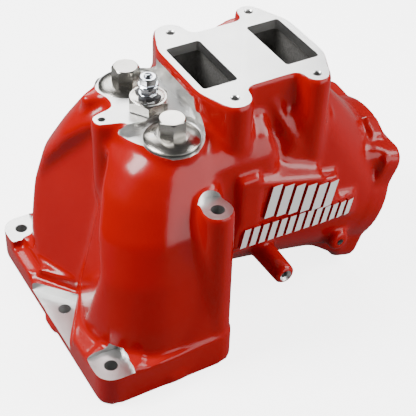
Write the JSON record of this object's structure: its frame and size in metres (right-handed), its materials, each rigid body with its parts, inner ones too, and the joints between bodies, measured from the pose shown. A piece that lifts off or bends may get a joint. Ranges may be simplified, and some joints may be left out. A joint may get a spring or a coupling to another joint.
{
  "type": "intake manifold",
  "caption": "Cast intake manifold elbow: bolted base flange under a domed plenum, side duct to a tilted throttle flange, two-port valve flange on top and an electric air heater in the roof.",
  "frame": {"origin": "centre of the four corner bolts of the base flange, on its mounting face", "axes": "+X along the duct from the plenum to the throttle flange, +Z out of the mounting face into the part, +Y along the base flange's long side"},
  "size_m": [0.2543, 0.176, 0.1835],
  "materials": {
    "red_powder_coat": "glossy powder coat over cast aluminium",
    "machined_aluminium": "milled",
    "cast_aluminium": "raw casting",
    "stainless": "turned",
    "zinc_plate": "bright zinc plate",
    "black_insulator": "moulded thermoset",
    "seal_rubber": "matt",
    "ceramic": "fired ceramic",
    "resistance_wire": "heat-darkened wire",
    "copper": "bare copper strap"
  },
  "bodies": {
    "root": {"manifold_casting": "red_powder_coat", "front_heater_plug": "stainless", "rear_heater_plug": "stainless", "front_plug_o_ring": "seal_rubber", "rear_plug_o_ring": "seal_rubber", "terminal_o_ring": "seal_rubber", "terminal_body": "stainless", "terminal_insulator": "black_insulator", "terminal_stud": "zinc_plate", "terminal_washer": "zinc_plate", "terminal_clamp_nut": "zinc_plate", "terminal_cable_nut": "zinc_plate", "inner_insulator": "ceramic", "front_coil_former": "ceramic", "rear_coil_former": "ceramic", "front_heater_coil": "resistance_wire", "rear_heater_coil": "resistance_wire", "bus_bar": "copper", "bus_bar_nut": "zinc_plate", "coil_end_screws": "zinc_plate"}
  },
  "joints": []
}
